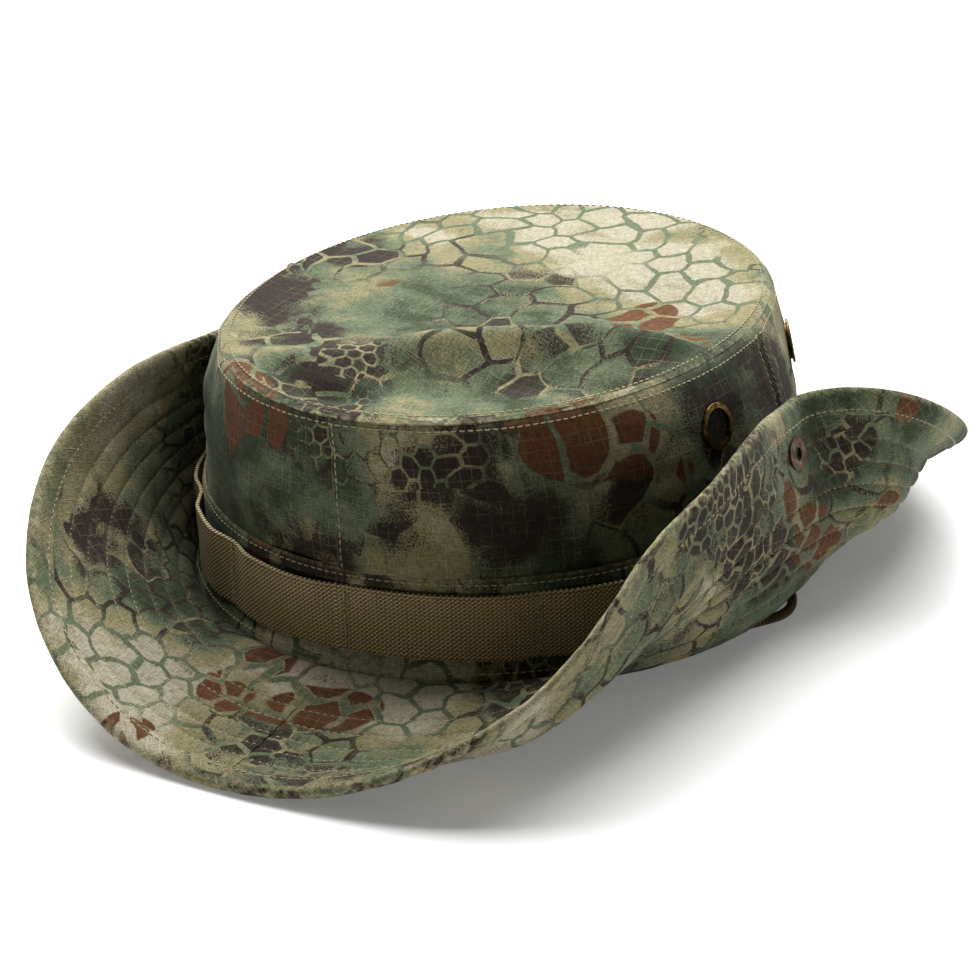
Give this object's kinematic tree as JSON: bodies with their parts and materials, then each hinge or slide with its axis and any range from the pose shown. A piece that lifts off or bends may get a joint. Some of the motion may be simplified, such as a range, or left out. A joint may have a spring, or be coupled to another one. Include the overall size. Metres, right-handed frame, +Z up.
{
  "type": "boonie hat",
  "caption": "Soft camouflage field hat with a flat crown, branch-loop band, quilted brim turned up and snapped at the sides, screened vents and a chin cord.",
  "frame": {"origin": "on the ground, under the middle of the hat", "axes": "+Z up, -Y towards the front of the hat, +X towards the wearer's left"},
  "size_m": [0.2542, 0.335, 0.0884],
  "materials": {
    "camo_ripstop": null,
    "olive_webbing": "coarse ribbed olive-brown webbing",
    "olive_twill": "plain olive cotton twill",
    "interlining": "stiff unbleached non-woven cloth",
    "olive_cord": "braided olive-brown cord",
    "antique_brass": "dark antique plating, rubbed bright along the rims",
    "snap_metal": "dull plated press stud",
    "vent_mesh": "dark grey woven screen",
    "lock_plastic": "moulded olive plastic",
    "spring_steel": "bright wire"
  },
  "bodies": {
    "root": {"branch_loop_webbing": "olive_webbing", "brim_binding_left": "camo_ripstop", "brim_binding_right": "camo_ripstop", "brim_stiffener_left": "interlining", "brim_stiffener_right": "interlining", "brim_under_left": "camo_ripstop", "brim_under_right": "camo_ripstop", "brim_upper_left": "camo_ripstop", "brim_upper_right": "camo_ripstop", "chin_cord": "olive_cord", "cord_lock_body": "lock_plastic", "cord_lock_spring": "spring_steel", "cord_tab_left": "olive_twill", "cord_tab_right": "olive_twill", "crown_band": "camo_ripstop", "crown_side_front_left": "camo_ripstop", "crown_side_front_right": "camo_ripstop", "crown_side_rear": "camo_ripstop", "crown_top": "camo_ripstop", "snap_stud_left": "snap_metal", "snap_stud_right": "snap_metal", "stud_ring_left": "snap_metal", "stud_ring_right": "snap_metal", "sweatband": "olive_twill", "top_seam_tape": "olive_twill", "vent_ring_left_front": "antique_brass", "vent_ring_left_rear": "antique_brass", "vent_ring_right_front": "antique_brass", "vent_ring_right_rear": "antique_brass", "vent_screen_left_front": "vent_mesh", "vent_screen_left_rear": "vent_mesh", "vent_screen_right_front": "vent_mesh", "vent_screen_right_rear": "vent_mesh", "vent_washer_left_front": "antique_brass", "vent_washer_left_rear": "antique_brass", "vent_washer_right_front": "antique_brass", "vent_washer_right_rear": "antique_brass"},
    "brim_left_side": {"brim_binding_left_flap": "camo_ripstop", "brim_stiffener_left_flap": "interlining", "brim_under_left_flap": "camo_ripstop", "brim_upper_left_flap": "camo_ripstop", "snap_cap_left": "snap_metal", "snap_socket_left": "snap_metal"},
    "brim_right_side": {"brim_binding_right_flap": "camo_ripstop", "brim_stiffener_right_flap": "interlining", "brim_under_right_flap": "camo_ripstop", "brim_upper_right_flap": "camo_ripstop", "snap_cap_right": "snap_metal", "snap_socket_right": "snap_metal"},
    "lock_plunger": {"cord_lock_plunger": "lock_plastic"}
  },
  "joints": [
    {"name": "left_brim_fold", "type": "hinge", "parent": "root", "child": "brim_left_side", "pos_m": [0.0943, 0, 0.0115], "axis": [0, 1, 0], "range_deg": [0, 75]},
    {"name": "right_brim_fold", "type": "hinge", "parent": "root", "child": "brim_right_side", "pos_m": [-0.0943, 0, 0.0115], "axis": [0, -1, 0], "range_deg": [0, 75]},
    {"name": "cord_lock_press", "type": "slide", "parent": "root", "child": "lock_plunger", "axis": [-1, 0, 0], "range_m": [0, 0.003], "stiffness_N_per_m": 400, "springref_m": -0.002, "deforming": ["cord_lock_spring"]}
  ]
}
